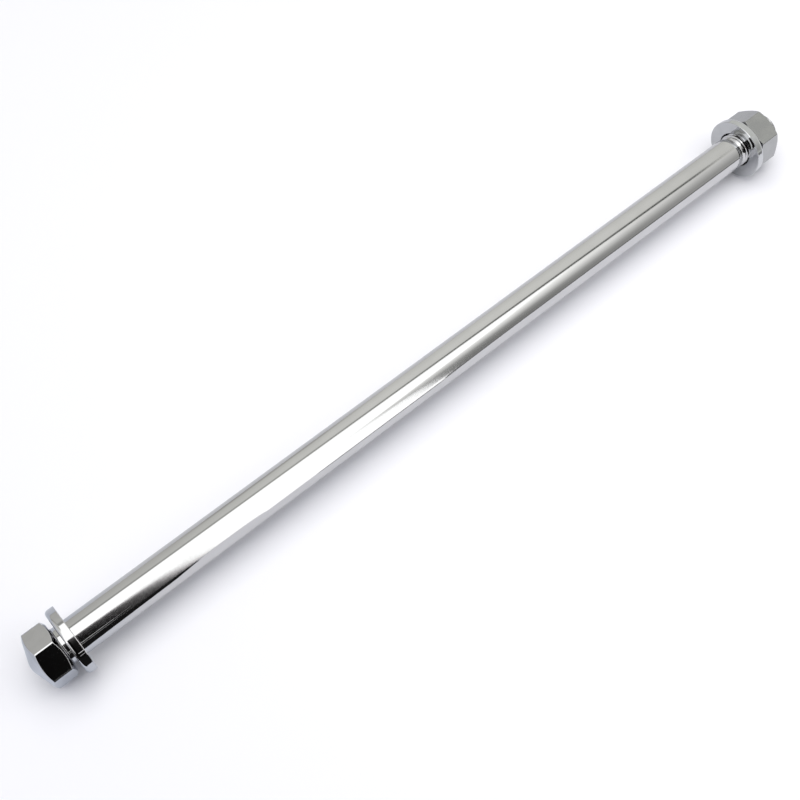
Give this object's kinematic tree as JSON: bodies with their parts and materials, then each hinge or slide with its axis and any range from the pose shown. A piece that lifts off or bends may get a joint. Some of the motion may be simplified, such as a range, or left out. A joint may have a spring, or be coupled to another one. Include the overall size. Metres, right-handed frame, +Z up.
{
  "type": "wheel axle",
  "caption": "Chromed wheel axle: a long plain shank with a domed hex head, a threaded far end, thick washers and a plain hex nut.",
  "frame": {"origin": "on the rod's axis, halfway between the tip of its head and its threaded end", "axes": "+X along the rod from its head to its threaded end, +Z up as it lies on its two washers"},
  "size_m": [0.3124, 0.022, 0.022],
  "materials": {
    "chrome_rod": "bright chrome plating over ground steel",
    "chrome_head_washer": "bright chrome plating over a stamped steel blank",
    "chrome_nut_washer": "bright chrome plating over a stamped steel blank",
    "chrome_nut": "chrome plating over a machined steel nut"
  },
  "bodies": {
    "axle": {"axle": "chrome_rod"},
    "head_washer": {"head_washer": "chrome_head_washer"},
    "nut_washer": {"nut_washer": "chrome_nut_washer"},
    "axle_nut": {"axle_nut": "chrome_nut"}
  },
  "joints": [
    {"name": "head_washer_slide", "type": "slide", "parent": "axle", "child": "head_washer", "axis": [1, 0, 0], "range_m": [-0.0012, 0.276]},
    {"name": "nut_washer_slide", "type": "slide", "parent": "axle", "child": "nut_washer", "axis": [1, 0, 0], "range_m": [-0.0051, 0.012]},
    {"name": "nut_turn", "type": "hinge", "parent": "nut_washer", "child": "axle_nut", "pos_m": [0.148, 0, 0], "axis": [1, 0, 0], "range_deg": [-1440, 3420]}
  ],
  "couplings": [
    {"joint": "nut_washer_slide", "follows": "nut_turn", "m_per_rad": 0.00019894}
  ]
}
